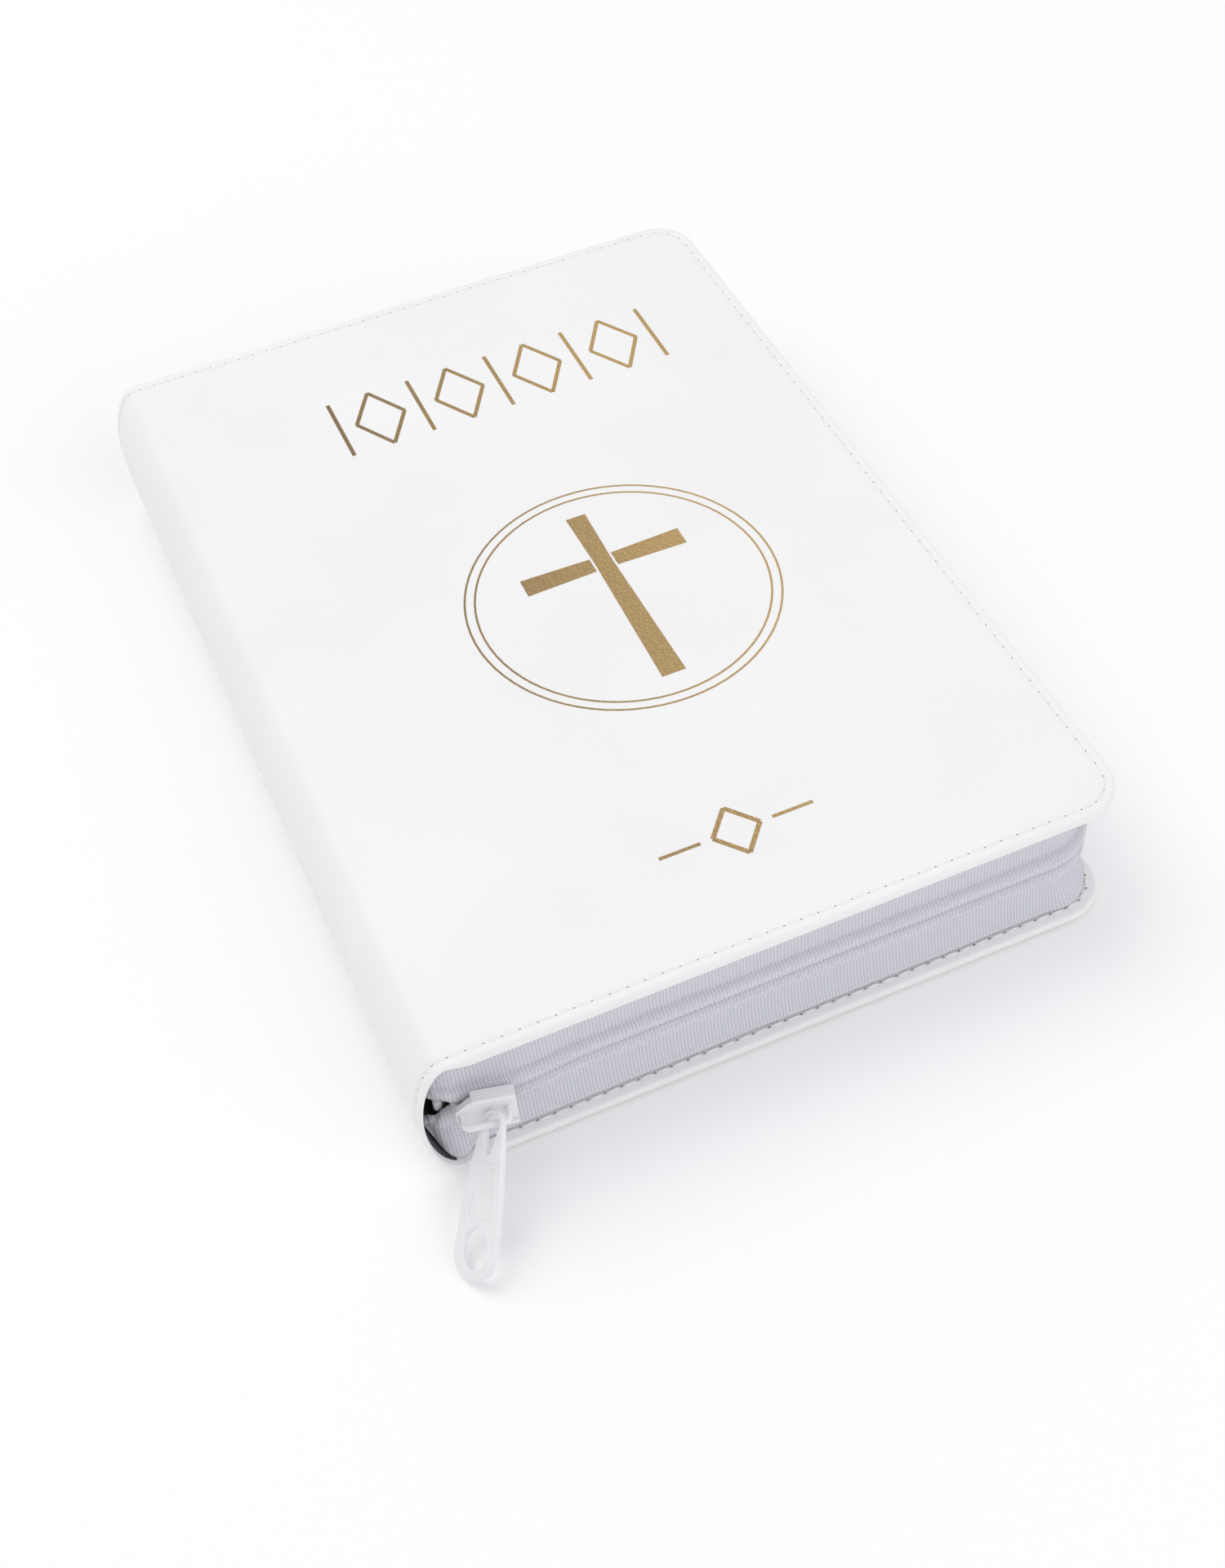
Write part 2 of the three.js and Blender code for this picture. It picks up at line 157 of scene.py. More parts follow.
def closed_sheet(outer, inner, columns):
    """Points and faces of a thin closed sheet from the grids of points on its two sides."""
    shift, rows = len(outer), len(outer) // columns
    faces = strip_faces(rows, columns) + strip_faces(rows, columns, shift)
    edges = [(k * columns + j, (k + 1) * columns + j)
             for k in range(rows - 1) for j in (0, columns - 1)]
    edges += [(k * columns + j, k * columns + j + 1)
              for k in (0, rows - 1) for j in range(columns - 1)]
    return outer + inner, faces + [[a, b, shift + b, shift + a] for a, b in edges]


def tube(path, section):
    """A capped tube. path is a list of (centre, side, up, scale); section is a list of
    (a, b) that becomes centre + scale * (a * side + b * up)."""
    return loft([[centre + scale * (a * side + b * up) for a, b in section]
                 for centre, side, up, scale in path])


def neighbours(places, k):
    """The places before and after the k-th. At an end, the k-th itself stands in."""
    return places[max(k - 1, 0)], places[min(k + 1, len(places) - 1)]


def thread_path(points, ups):
    """A tube's path through points, each with its own up."""
    path = []
    for k, (point, up) in enumerate(zip(points, ups)):
        before, after = neighbours(points, k)
        ahead = (after - before).normalized()
        side = ahead.cross(up).normalized()
        path.append((point, side, side.cross(ahead).normalized(), 1.0))
    return path


def circle(count, a, b=None):
    """Corners of a round or oval section."""
    b = a if b is None else b
    turns = [2 * math.pi * k / count for k in range(count)]
    return [(a * math.cos(t), b * math.sin(t)) for t in turns]


def gather(parts):
    """Joins several (points, faces) pairs into one."""
    points, faces = [], []
    for new_points, new_faces in parts:
        faces += [[len(points) + k for k in face] for face in new_faces]
        points += list(new_points)
    return points, faces


def spread(low, high, count):
    """count + 1 evenly spaced numbers from low to high."""
    return [low + (high - low) * k / count for k in range(count + 1)]


def arc(x, y, radius, start, stop, count):
    """count + 1 places on a circle about (x, y), between two angles."""
    return [(x + radius * math.cos(t), y + radius * math.sin(t))
            for t in spread(start, stop, count)]


def smoothstep(x, low, high):
    t = min(max((x - low) / (high - low), 0.0), 1.0)
    return t * t * (3 - 2 * t)


# ---- materials ----

class Look:
    """A principled material with a few procedural layers."""

    def __init__(self, name, color, roughness, **sockets):
        self.material = bpy.data.materials.new(name)
        self.material.use_nodes = True
        self.tree = self.material.node_tree
        self.shader = self.tree.nodes["Principled BSDF"]
        self.set("Base Color", (*color, 1.0))
        self.set("Roughness", roughness)
        for key, value in sockets.items():
            self.set(key.replace("_", " "), value)
        self.where = self.node("ShaderNodeTexCoord").outputs["Object"]
        self.height = None

    def set(self, socket, value):
        self.shader.inputs[socket].default_value = value

    def node(self, kind, inputs=(), **values):
        """A new node with its settings, and its inputs as (name, number or output)."""
        made = self.tree.nodes.new(kind)
        for key, value in values.items():
            setattr(made, key, value)
        for key, value in inputs:
            if isinstance(value, (int, float)):
                made.inputs[key].default_value = value
            else:
                self.tree.links.new(value, made.inputs[key])
        return made

    def link(self, output, socket):
        self.tree.links.new(output, self.shader.inputs[socket])

    def math(self, operation, first, second):
        return self.node("ShaderNodeMath", enumerate((first, second)),
                         operation=operation).outputs[0]

    def noise(self, size, detail):
        """Cloudy noise whose lumps are about size millimetres across."""
        inputs = {"Vector": self.where, "Scale": 1.0 / (size * MM), "Detail": detail,
                  "Roughness": 0.55}
        return self.node("ShaderNodeTexNoise", inputs.items()).outputs["Fac"]

    def cells(self, size):
        """Rounded cells about size millimetres across."""
        inputs = {"Vector": self.where, "Scale": 1.0 / (size * MM)}
        return self.node("ShaderNodeTexVoronoi", inputs.items(),
                         feature="SMOOTH_F1").outputs["Distance"]

    def wave(self, vector, scale, direction="X", distortion=0.0):
        """Soft stripes across a direction."""
        inputs = {"Vector": vector, "Scale": scale, "Distortion": distortion}
        return self.node("ShaderNodeTexWave", inputs.items(), wave_type="BANDS",
                         bands_direction=direction).outputs["Fac"]

    def color_by(self, factor, low, high, start=0.3, stop=0.7):
        """Colours from low to high while factor goes from start to stop."""
        made = self.node("ShaderNodeValToRGB", [("Fac", factor)])
        for k, (place, color) in enumerate(((start, low), (stop, high))):
            made.color_ramp.elements[k].position = place
            made.color_ramp.elements[k].color = (*color, 1.0)
        self.link(made.outputs["Color"], "Base Color")

    def rough_by(self, factor, low, high):
        inputs = {"Value": factor, "To Min": low, "To Max": high}
        self.link(self.node("ShaderNodeMapRange", inputs.items()).outputs[0], "Roughness")

    def bump(self, height, depth):
        """Adds relief. depth is in millimetres for a height that runs from 0 to 1."""
        inputs = {"Strength": 1.0, "Distance": depth * MM, "Height": height}
        if self.height is not None:
            inputs["Normal"] = self.height
        self.height = self.node("ShaderNodeBump", inputs.items()).outputs["Normal"]
        self.link(self.height, "Normal")


def shade(color, factor):
    return tuple(min(c * factor, 1.0) for c in color)


def mottled(name, color, roughness, patches, shades, relief=None, **sockets):
    """One colour in two shades, in patches of (size, detail), with a fine relief of (size,
    detail, depth)."""
    look = Look(name, color, roughness, **sockets)
    look.color_by(look.noise(*patches), shade(color, shades[0]), shade(color, shades[1]))
    if relief:
        look.bump(look.noise(*relief[:2]), relief[2])
    return look


def leatherette():
    """White grained leatherette: small pebbles with finer creases, and a slight patchiness."""
    look = mottled("white_leatherette", (0.90, 0.895, 0.89), 0.5, (38, 2), (0.975, 1.01),
                   Specular_IOR_Level=0.35)
    look.bump(look.cells(0.55), 0.045)
    look.bump(look.noise(0.22, 4), 0.03)
    look.bump(look.noise(6, 2), 0.05)
    look.rough_by(look.noise(1.2, 3), 0.44, 0.6)
    return look


def mull_cloth():
    """Open gauze glued on the back of the sections."""
    straw = (0.74, 0.70, 0.60)
    look = Look("mull_cloth", straw, 0.9)
    threads = look.math("MULTIPLY", *(look.wave(look.where, 330, way) for way in "YZ"))
    look.color_by(threads, shade(straw, 0.55), straw, 0.1, 0.5)
    look.bump(threads, 0.12)
    return look


def zip_tape():
    """Woven tape: fine ribs across it, with a twill slant between them."""
    lilac = (0.69, 0.69, 0.738)
    look = Look("zip_tape", lilac, 0.85, Sheen_Weight=0.25, Sheen_Roughness=0.5)
    along = look.node("ShaderNodeUVMap").outputs["UV"]
    ribs = look.wave(along, 0.476, "X")
    twill = look.wave(along, 0.952, "DIAGONAL")
    weave = look.math("ADD", look.math("MULTIPLY", ribs, 0.6), look.math("MULTIPLY", twill, 0.4))
    look.color_by(weave, shade(lilac, 0.82), shade(lilac, 1.07), 0.15, 0.8)
    look.bump(weave, 0.07)
    look.bump(look.noise(0.25, 3), 0.03)
    return look


def enamel():
    """Thick glossy enamel over a die casting, with a little orange peel."""
    look = mottled("white_enamel", (0.86, 0.86, 0.87), 0.28, (4, 3), (0.96, 1.02),
                   (1.3, 2, 0.025), Coat_Weight=0.35, Coat_Roughness=0.15)
    look.rough_by(look.noise(2.5, 3), 0.22, 0.4)
    return look


def gold_foil():
    """Hot-stamped foil: metallic, darkened towards the spine as painted shade, and broken up by
    the grain beneath.
    """
    gold = (0.62, 0.43, 0.19)
    look = Look("gold_foil", gold, 0.3, Metallic=1.0)
    across = look.node("ShaderNodeSeparateXYZ", [(0, look.where)])
    patchy = look.math("MULTIPLY", look.noise(0.5, 4), 0.35)
    # painted shade: the colour darkens towards the spine, for the darker reflection the foil
    # shows there
    foil_shade = look.math("MULTIPLY", across.outputs["X"], 9.0)
    look.color_by(look.math("ADD", look.math("ADD", foil_shade, 0.3), patchy),
                  (0.2, 0.145, 0.09), gold, 0.1, 0.75)
    look.rough_by(look.cells(0.35), 0.2, 0.5)
    look.bump(look.cells(0.5), 0.05)
    look.bump(look.noise(0.2, 3), 0.03)
    return look


def page_paper():
    """Thin cream leaves: the relief is their cut edges."""
    look = mottled("bible_paper", (0.84, 0.80, 0.71), 0.85, (5, 4), (0.96, 1.03))
    look.bump(look.wave(look.where, 2300, "Z", 0.6), 0.02)
    return look


def satin_ribbon():
    """Satin with fine warp lines."""
    ochre = (0.60, 0.40, 0.12)
    look = Look("satin_ribbon", ochre, 0.38, Sheen_Weight=0.4)
    look.color_by(look.wave(look.where, 1400, "X"), shade(ochre, 0.8), shade(ochre, 1.15))
    look.bump(look.wave(look.where, 1400, "X"), 0.03)
    return look


def headband_silk():
    """Two colours of silk wound in turn over the headband's core."""
    look = Look("headband_silk", (0.6, 0.4, 0.12), 0.5, Sheen_Weight=0.4)
    stripes = look.wave(look.where, 165, "Z")
    look.color_by(stripes, (0.55, 0.36, 0.1), (0.86, 0.83, 0.76), 0.45, 0.55)
    look.bump(look.wave(look.where, 660, "Z"), 0.08)
    return look


LOOKS = {
    "leatherette": leatherette(),
    # painted shade: the leatherette's knitted inner side inside the spine, near black for the
    # shadow in its hollow
    "spine_shade": mottled("spine_shade_cloth", (0.06, 0.06, 0.065), 0.95, (0.8, 4), (0.6, 1.6),
                       (0.4, 4, 0.05)),
    "board": mottled("binder_board", (0.47, 0.4, 0.31), 0.92, (1.4, 5), (0.8, 1.15),
                     (0.5, 5, 0.05)),
    "lining": mottled("pasted_lining", (0.80, 0.775, 0.72), 0.8, (3, 5), (0.96, 1.03),
                      (0.3, 5, 0.02)),
    "mull": mull_cloth(),
    "tape": zip_tape(),
    "nylon": mottled("coil_nylon", (0.8, 0.8, 0.86), 0.4, (2, 2), (0.95, 1.03), (0.4, 3, 0.01),
                     Subsurface_Weight=0.08, Subsurface_Scale=0.001),
    "enamel": enamel(),
    "thread": mottled("sewing_thread", (0.88, 0.88, 0.875), 0.65, (0.3, 2), (0.93, 1.03),
                      (0.12, 2, 0.03), Sheen_Weight=0.3),
    "tape_thread": mottled("tape_thread", (0.8, 0.8, 0.84), 0.6, (0.5, 2), (0.94, 1.05),
                           (0.1, 2, 0.02), Sheen_Weight=0.3),
    # painted shade: the needle holes' dark colour stands in for the shadow inside them
    "hole": mottled("hole_shade", (0.3, 0.29, 0.28), 0.9, (0.4, 2), (0.7, 1.5)),
    "foil": gold_foil(),
    "paper": page_paper(),
    "ribbon": satin_ribbon(),
    "headband": headband_silk(),
}
LOOKS = {key: look.material for key, look in LOOKS.items()}


# ---- the case's skin ----
# The skin is laid out flat as (s, y): s runs from 0 at the hinge line to WIDTH at the
# fore-edge, and on below 0 round the spine. skin_point() then bends it into place.

STITCH = 3.25  # length of one stitch
SEAM_INSET = 2.0  # from the cover's edge
SEAM_END = 0.8  # from a seam's end to its last needle hole
STITCH_ARC = [(0.13, -0.34), (0.2, -0.1), (0.36, 0.04), (0.5, 0.07), (0.64, 0.04),
              (0.8, -0.1), (0.87, -0.34)]  # (share of the stitch, height) along its thread
SPINE_WALL = 1.2  # thickness of the spine's skin
RIM_TOP = -0.25  # how much lower the cover's edge is than its crown
SWELL = 4.5  # how far inside the seam the padding takes to rise
GROOVE_DEEP, GROOVE_AT, GROOVE_WIDE = 0.35, 3.0, 2.2  # hinge groove, from the hinge line
SPINE_ANGLES = np.linspace(0, math.pi, 721)
SPINE_X = HINGE_X - BULGE * np.sin(SPINE_ANGLES)
SPINE_Z = MID_Z + MID_Z * np.cos(SPINE_ANGLES)
SPINE_RUN = np.concatenate([[0], np.cumsum(np.hypot(np.diff(SPINE_X), np.diff(SPINE_Z)))])
SPINE_LENGTH = float(SPINE_RUN[-1])


def skin_point(s, y, height):
    """Point at (s, y) on the outside of the case, raised by height along its normal."""
    if s >= 0:
        return Vector((HINGE_X + s, y, TOP_Z + height))
    angle = float(np.interp(-s, SPINE_RUN, SPINE_ANGLES))
    x = HINGE_X - BULGE * math.sin(angle)
    z = MID_Z + MID_Z * math.cos(angle)
    normal = Vector((-math.sin(angle) / BULGE, 0, math.cos(angle) / MID_Z)).normalized()
    return Vector((x, y, z)) + height * normal


def back_point(s, y, height):
    """The same place on the back cover, which mirrors the front."""
    point = skin_point(max(s, 0), y, height)
    return Vector((point.x, point.y, TOP_Z - point.z))


def edge_distance(s, y):
    """Distance from a place on the flat skin to its nearest sewn edge."""
    across, along = WIDTH - s, EDGE_Y - abs(y)
    if across < CORNER and along < CORNER:
        return CORNER - math.hypot(CORNER - across, CORNER - along)
    return min(across, along)


def crown(s, y, distance=None):
    """Height of the padded skin: a soft welt outside the seam and a swell inside it."""
    d = edge_distance(s, y) if distance is None else distance
    swell = RIM_TOP * math.exp(-max(d - SEAM_INSET, 0) / SWELL)
    hinge = -GROOVE_DEEP * math.exp(-((s - GROOVE_AT) / GROOVE_WIDE) ** 2)
    hinge *= smoothstep(d, 3, 12)
    wave = 0.05 * noise.noise(Vector((s / 26, y / 26, 3.1)))
    return swell + hinge + wave * smoothstep(d, 2, 10)


def seam_dip(d):
    """The groove that the stitches pull into the skin."""
    return -0.34 * math.exp(-((d - SEAM_INSET) / 0.42) ** 2)


def rim_depth(s):
    """How thick the case is at s: the cover's boards end at the hinge."""
    s = max(s, -SPINE_LENGTH - s)
    return SPINE_WALL + (RIM - SPINE_WALL) * smoothstep(s, 0.0, 4.0)


def edge_profile():
    """Rings of the skin from the flat grid out and round the edge to the underside, as
    (inset, height, share): the height is over the crown where share is 0, over the
    underside where share is 1, and a share of the edge's depth in between."""
    rings = [(d, seam_dip(d), 0) for d in (7.4, 5.8, 4.4, 3.4, 2.8, 2.4, 2.0, 1.65, 1.3)]
    for t in map(math.radians, (60, 42, 24, 8)):
        rings.append((1.1 * (1 - math.cos(t)), 0, 0.5 * (1 - math.sin(t))))
    for t in map(math.radians, (0, 30, 60, 90)):
        rings.append((0.6 * (1 - math.cos(t)), 0, 0.74 + 0.26 * math.sin(t)))
    rings += [(d, -0.15 * math.exp(-((d - SEAM_INSET) / 0.5) ** 2), 1)
              for d in (1.3, 2, 2.8, 4.5)]
    return [(CORNER, 0, 0), *rings, (CORNER, 0, 1)]


def ring(inset, along_s, along_y, steps=10):
    """Places (s, y) round the three edges at an inset, from the tail's spine end round to
    the head's. steps is the count of segments in each corner."""
    radius = max(CORNER - inset, 0)
    centre_s, centre_y = WIDTH - CORNER, EDGE_Y - CORNER
    tail = [(s, -EDGE_Y + inset) for s in along_s[:-1]]
    fore_edge = [(WIDTH - inset, y) for y in along_y[1:-1]]
    return (tail + arc(centre_s, -centre_y, radius, -math.pi / 2, 0, steps) + fore_edge
            + arc(centre_s, centre_y, radius, 0, math.pi / 2, steps)
            + [(s, -y) for s, y in reversed(tail)])


def case_skin(name, left, place):
    """A closed slab of the case: its skin, turned-in edge and underside."""
    along_s = spread(0, WIDTH - CORNER, 56)
    if left < 0:
        along_s = spread(left, 0, 64)[:-1] + along_s
    along_y = spread(-EDGE_Y + CORNER, EDGE_Y - CORNER, 80)
    points, faces = [], []
    for under in (False, True):
        faces += strip_faces(len(along_y), len(along_s), len(points))
        points += [place(s, y, -rim_depth(s) if under else crown(s, y))
                   for y in along_y for s in along_s]
    rings = []
    for inset, over, share in edge_profile():
        rings.append(len(points))
        for s, y in ring(inset, along_s, along_y):
            top = crown(s, y, inset)
            points.append(place(s, y, over + top * (1 - share) - rim_depth(s) * share))
    count = len(points) - rings[-1]
    for near, far in zip(rings, rings[1:]):
        for k in range(count - 1):
            faces.append([near + k, near + k + 1, far + k + 1, far + k])
    faces += end_wall(rings, count, len(along_s), len(along_y))
    return outward(add_mesh(name, points, faces, LOOKS["leatherette"]))


def end_wall(rings, count, columns, rows):
    """Faces that close the slab where it starts, between its skin and its underside."""
    under = columns * rows
    faces = []
    for chain in (rings, [first + count - 1 for first in rings]):
        for k in range(len(rings) // 2):
            a, b, c, d = chain[k], chain[k + 1], chain[-2 - k], chain[-1 - k]
            faces.append([a, b, c, d] if b != c else [a, b, d])
    for row in range(rows - 1):
        low, high = row * columns, (row + 1) * columns
        faces.append([low, high, under + high, under + low])
    return faces


def paint_spine_shade(piece):
    """Inside the spine, past its turned-in edge, the skin's inner side is painted near black as
    shade.
    """
    past_hinge, turned_in = 1.0, 1.2
    piece.data.materials.append(LOOKS["spine_shade"])
    for face in piece.data.polygons:
        x, y, z = face.center / MM
        inner = face.normal.dot(Vector((x - HINGE_X, 0, z - MID_Z))) < 0
        if inner and x < HINGE_X - past_hinge and abs(y) < EDGE_Y - turned_in:
            face.material_index = 1


def bend(piece):
    """Bakes a piece's placement into its mesh."""
    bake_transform(piece)


def skin_bend(piece):
    """Bakes a piece of the front's skin in place, as bend() does."""
    bend(piece)


# ---- stitching ----

def seam_places(left):
    """Evenly spaced needle holes along the seam, as (s, y)."""
    dense = ring(SEAM_INSET, spread(left, WIDTH - CORNER, 200),
                 spread(-EDGE_Y + CORNER, EDGE_Y - CORNER, 200), 24)
    along_s, along_y = np.array(dense).T
    run = np.concatenate([[0], np.cumsum(np.hypot(np.diff(along_s), np.diff(along_y)))])
    holes = spread(SEAM_END, run[-1] - SEAM_END, round(run[-1] / STITCH))
    return [(float(np.interp(h, run, along_s)), float(np.interp(h, run, along_y)))
            for h in holes]


def up_at(place, s, y, height):
    """The skin's outward direction at (s, y)."""
    return (place(s, y, height + 0.1) - place(s, y, height)).normalized()


def stitches(name, left, place, under=False):
    """One row of stitches: each thread rises from its hole, crosses and dives again."""
    holes = seam_places(left)
    parts = []
    for (s0, y0), (s1, y1) in zip(holes, holes[1:]):
        path = []
        drift = random.uniform(-0.06, 0.06)
        for t, lift in STITCH_ARC:
            s, y = s0 + (s1 - s0) * t, y0 + (y1 - y0) * t + drift
            surface = -rim_depth(s) - 0.12 if under else crown(s, y, SEAM_INSET) - 0.3
            path.append((s, y, surface + (-lift if under else lift)))
        thread = thread_path([place(*spot) for spot in path],
                             [up_at(place, *spot) for spot in path])
        parts.append(tube(thread, circle(8, 0.22, 0.17)))
    return add_mesh(name, *gather(parts), LOOKS["thread"])


def hole_shade_slots(name, left, place, under=False):
    """Small dark slots where the thread goes through the skin: painted shade of the needle holes.
    """
    parts = []
    for s, y in seam_places(left):
        height = -rim_depth(s) - 0.05 if under else crown(s, y, SEAM_INSET) - 0.36
        centre = place(s, y, height)
        along = (place(s + 0.1, y, height) - centre).normalized()
        if EDGE_Y - abs(y) > SEAM_INSET + 4:  # on the fore-edge
            along = Vector((0, 1, 0))
        up = up_at(place, s, y, height)
        side = up.cross(along).normalized()
        frames = [(centre + lift * up, along, side, scale)
                  for lift, scale in ((-0.25, 0.9), (0, 1.0), (0.1, 0.5))]
        parts.append(tube(frames, circle(10, 0.34, 0.17)))
    return add_mesh(name, *gather(parts), LOOKS["hole"])


def make_case():
    front = case_skin("case_skin_front_and_spine", -SPINE_LENGTH, skin_point)
    back = case_skin("case_skin_back", 0.0, back_point)
    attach(back, "back_cover")
    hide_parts("front_cover_skin", "spine_skin")
    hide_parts("back_cover_skin")
    # paints shade on the skin's inner side inside the spine
    paint_spine_shade(front)
    skin_bend(front)
    for side, left, place in (("front", -SPINE_LENGTH + 2, skin_point),
                              ("back", 1.5, back_point)):
        top = stitches(f"{side}_seam_outside", left, place)
        inside = max(left, 4.0)
        below = stitches(f"{side}_seam_inside", inside, place, under=True)
        holes = hole_shade_slots(f"{side}_hole_shade_slots", left, place)
        holes_below = hole_shade_slots(f"{side}_needle_holes_inside", inside, place, under=True)
        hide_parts(f"{side}_stitching")
        for piece in (top, below, holes, holes_below):
            if side == "front" and piece in (top, holes):
                skin_bend(piece)
            else:
                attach(piece, f"{side}_cover")


# ---- zip tapes and coils ----

COIL_PITCH = 1.35  # of the coil's helix along the tape
RIB_PITCH = 0.66  # of the tape's woven ribs


def tape_path(step, inset, tail_x, head_x):
    """Points at an inset from the tape, from the tail's spine end round to the head's, as a
    list of (place, outward direction, distance along)."""
    out = TAPE_OUT - inset
    far = FORE_X - (EDGE_Y - TAPE_OUT) - inset
    radius = TAPE_CORNER - inset
    straight = far - radius - tail_x
    turned = math.pi / 2 * radius
    rise = 2 * (out - radius)
    back = far - radius - head_x
    total = straight + rise + back + 2 * turned
    path = []
    for run in spread(0, total, max(2, round(total / step))):
        if run <= straight:
            place, normal = (tail_x + run, -out), (0, -1)
        elif run <= straight + turned:
            turn = (run - straight) / radius
            normal = math.sin(turn), -math.cos(turn)
            place = far - radius + radius * normal[0], -out + radius + radius * normal[1]
        elif run <= straight + turned + rise:
            place, normal = (far, -out + radius + run - straight - turned), (1, 0)
        elif run <= straight + 2 * turned + rise:
            turn = (run - straight - turned - rise) / radius
            normal = math.cos(turn), math.sin(turn)
            place = far - radius + radius * normal[0], out - radius + radius * normal[1]
        else:
            place, normal = (far - radius - (run - straight - 2 * turned - rise), out), (0, 1)
        path.append((Vector((*place, 0)), Vector((*normal, 0)), run))
    return path


# The lower tape's section: (how far it stands out from the tape's plane, height). It comes
# out from under the cover's lining, runs up a little hollow, then steps out over the coil
# and folds in at the middle.
TAPE_SECTION = [(-3.9, 2.85), (-1.6, 2.85), (-0.5, 3.0), (-0.12, 3.5), (-0.1, 4.4), (-0.42, 4.75),
                (-0.55, 6.2), (-0.66, 7.8), (-0.66, 9.4), (-0.55, 10.8), (-0.42, 11.9),
                (-0.36, 12.45), (0.3, 12.62), (0.8, 12.85), (1.08, 13.3), (1.18, 13.9),
                (1.14, 14.6), (0.9, 15.2), (0.45, 15.7), (-0.3, 16.0)]
TAPE_THICK = 0.45
TAPE_REACH = 4.7  # how far the ends go past the hinge line into the spine
TAPE_BEND = 2.2  # how far past the hinge line the ends start to fold
TAPE_STITCH = 0.95  # pitch of the thread rows that hold the coil
TAPE_SEAMS = (12.25, 13.55, 14.85)  # heights of those rows


def hollow_floor(x, clearance):
    """Height of the case's inner surface at x, seen from the lower cover."""
    s = x - HINGE_X
    across = max(1 - (s / (BULGE - SPINE_WALL - clearance)) ** 2, 0.03) if s < 0 else 1.0
    inner = MID_Z - (MID_Z - SPINE_WALL - clearance) * math.sqrt(across)
    return max(inner, rim_depth(s) + 0.4) if s >= -1 else inner


def end_fold(place, out, z, front):
    """Where a point of a tape goes, as (out, height). Well before the hinge line it stays
    put; then the tape fills the spine's hollow and turns in, crumpled."""
    past = max(HINGE_X + TAPE_BEND - place.x, 0.0)
    ease = smoothstep(past, 0, TAPE_REACH + TAPE_BEND)
    low, high = TAPE_SECTION[0][1], TAPE_SECTION[-1][1]
    floor = hollow_floor(place.x, 0.25 if front else 0.35)
    crumple = noise.noise(Vector((place.x / 1.9, place.y / 7, z / 2.6 + 5 * front)))
    fine = noise.noise(Vector((place.x / 0.7, place.y / 7, z / 1.1 + 8 * front)))
    top = high - ease * (2.6 if front else 3.6) + 0.9 * ease * fine
    height = floor + (z - low) / (high - low) * (top - floor)
    turned = (1.0 if front else 0.5) * ease
    turned += 1.4 * smoothstep(past, 4.0, TAPE_REACH + TAPE_BEND)
    return out * (1 - 0.6 * ease) - turned + ease * (0.9 * crumple + 0.35 * fine), height


def foot_flare(place, normal, out, z):
    """How far the lower tape's foot leans out to its seam: more round the corners, and where
    it turns into the spine."""
    if out < -3:
        return 0.0
    corner = smoothstep(abs(normal.x * normal.y), 0, 0.5)
    turning = math.exp(-((place.x - HINGE_X) / 2.5) ** 2)
    along = smoothstep(place.x, HINGE_X - TAPE_REACH, HINGE_X)
    return along * (0.95 + 1.6 * corner + 1.2 * turning) * (1 - smoothstep(z, 3.5, 11.5))


def zip_tape_piece(side, front):
    """One tape, as a thin closed sheet with ribs, reaching into the spine at both ends."""
    path = tape_path(RIB_PITCH / 2, 0, HINGE_X - TAPE_REACH, HINGE_X - TAPE_REACH)
    outer, inner, uv = [], [], []
    lengths = [0.0]
    for a, b in zip(TAPE_SECTION, TAPE_SECTION[1:]):
        lengths.append(lengths[-1] + math.dist(a, b))
    for place, normal, run in path:
        for row, (out, z) in enumerate(TAPE_SECTION):
            wander = 0.14 * noise.noise(Vector((place.x / 9, place.y / 9, z / 5 + 11 * front)))
            relief = 0.05 * math.cos(2 * math.pi * run / RIB_PITCH) if row > 4 else 0
            if place.x < HINGE_X + TAPE_BEND:
                out, z = end_fold(place, out, z, front)
                relief *= smoothstep(place.x, HINGE_X - 2, HINGE_X + 2)
            foot = 0 if front else foot_flare(place, normal, out, z)
            out += wander + slider_bulge(place, z) + foot
            # the first rows lie flat on the cover, so their thickness is upwards
            deep, lift = (0, 0.3) if row < 2 else (0.3, 0.25) if row == 2 else (TAPE_THICK, 0)
            for layer, o, h in ((outer, out + relief, z), (inner, out - deep, z + lift)):
                layer.append(Vector((place.x, place.y, TOP_Z - h if front else h)) + normal * o)
            uv.append((run, lengths[row]))
    piece = add_mesh(f"{side}_tape_woven", *closed_sheet(outer, inner, len(TAPE_SECTION)),
                     LOOKS["tape"])
    layer = piece.data.uv_layers.new(name="UVMap")
    for loop in piece.data.loops:
        layer.data[loop.index].uv = uv[loop.vertex_index % len(uv)]
    outward(piece)
    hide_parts(f"{side}_zip_tape", f"{side}_tape_end_tail", f"{side}_tape_end_head")
    bend(piece)


def slider_bulge(place, z):
    """The tapes stand proud where the slider lifts them."""
    if place.y > 0:
        return 0.0
    past = place.x - HINGE_X
    return 0.9 * smoothstep(past, 1, 9) * smoothstep(-past, -27, -10) * smoothstep(z, 8.5, 12.5)


def section_out(z):
    """How far the lower tape stands out at a height."""
    outs, heights = zip(*TAPE_SECTION)
    return float(np.interp(z, heights, outs))


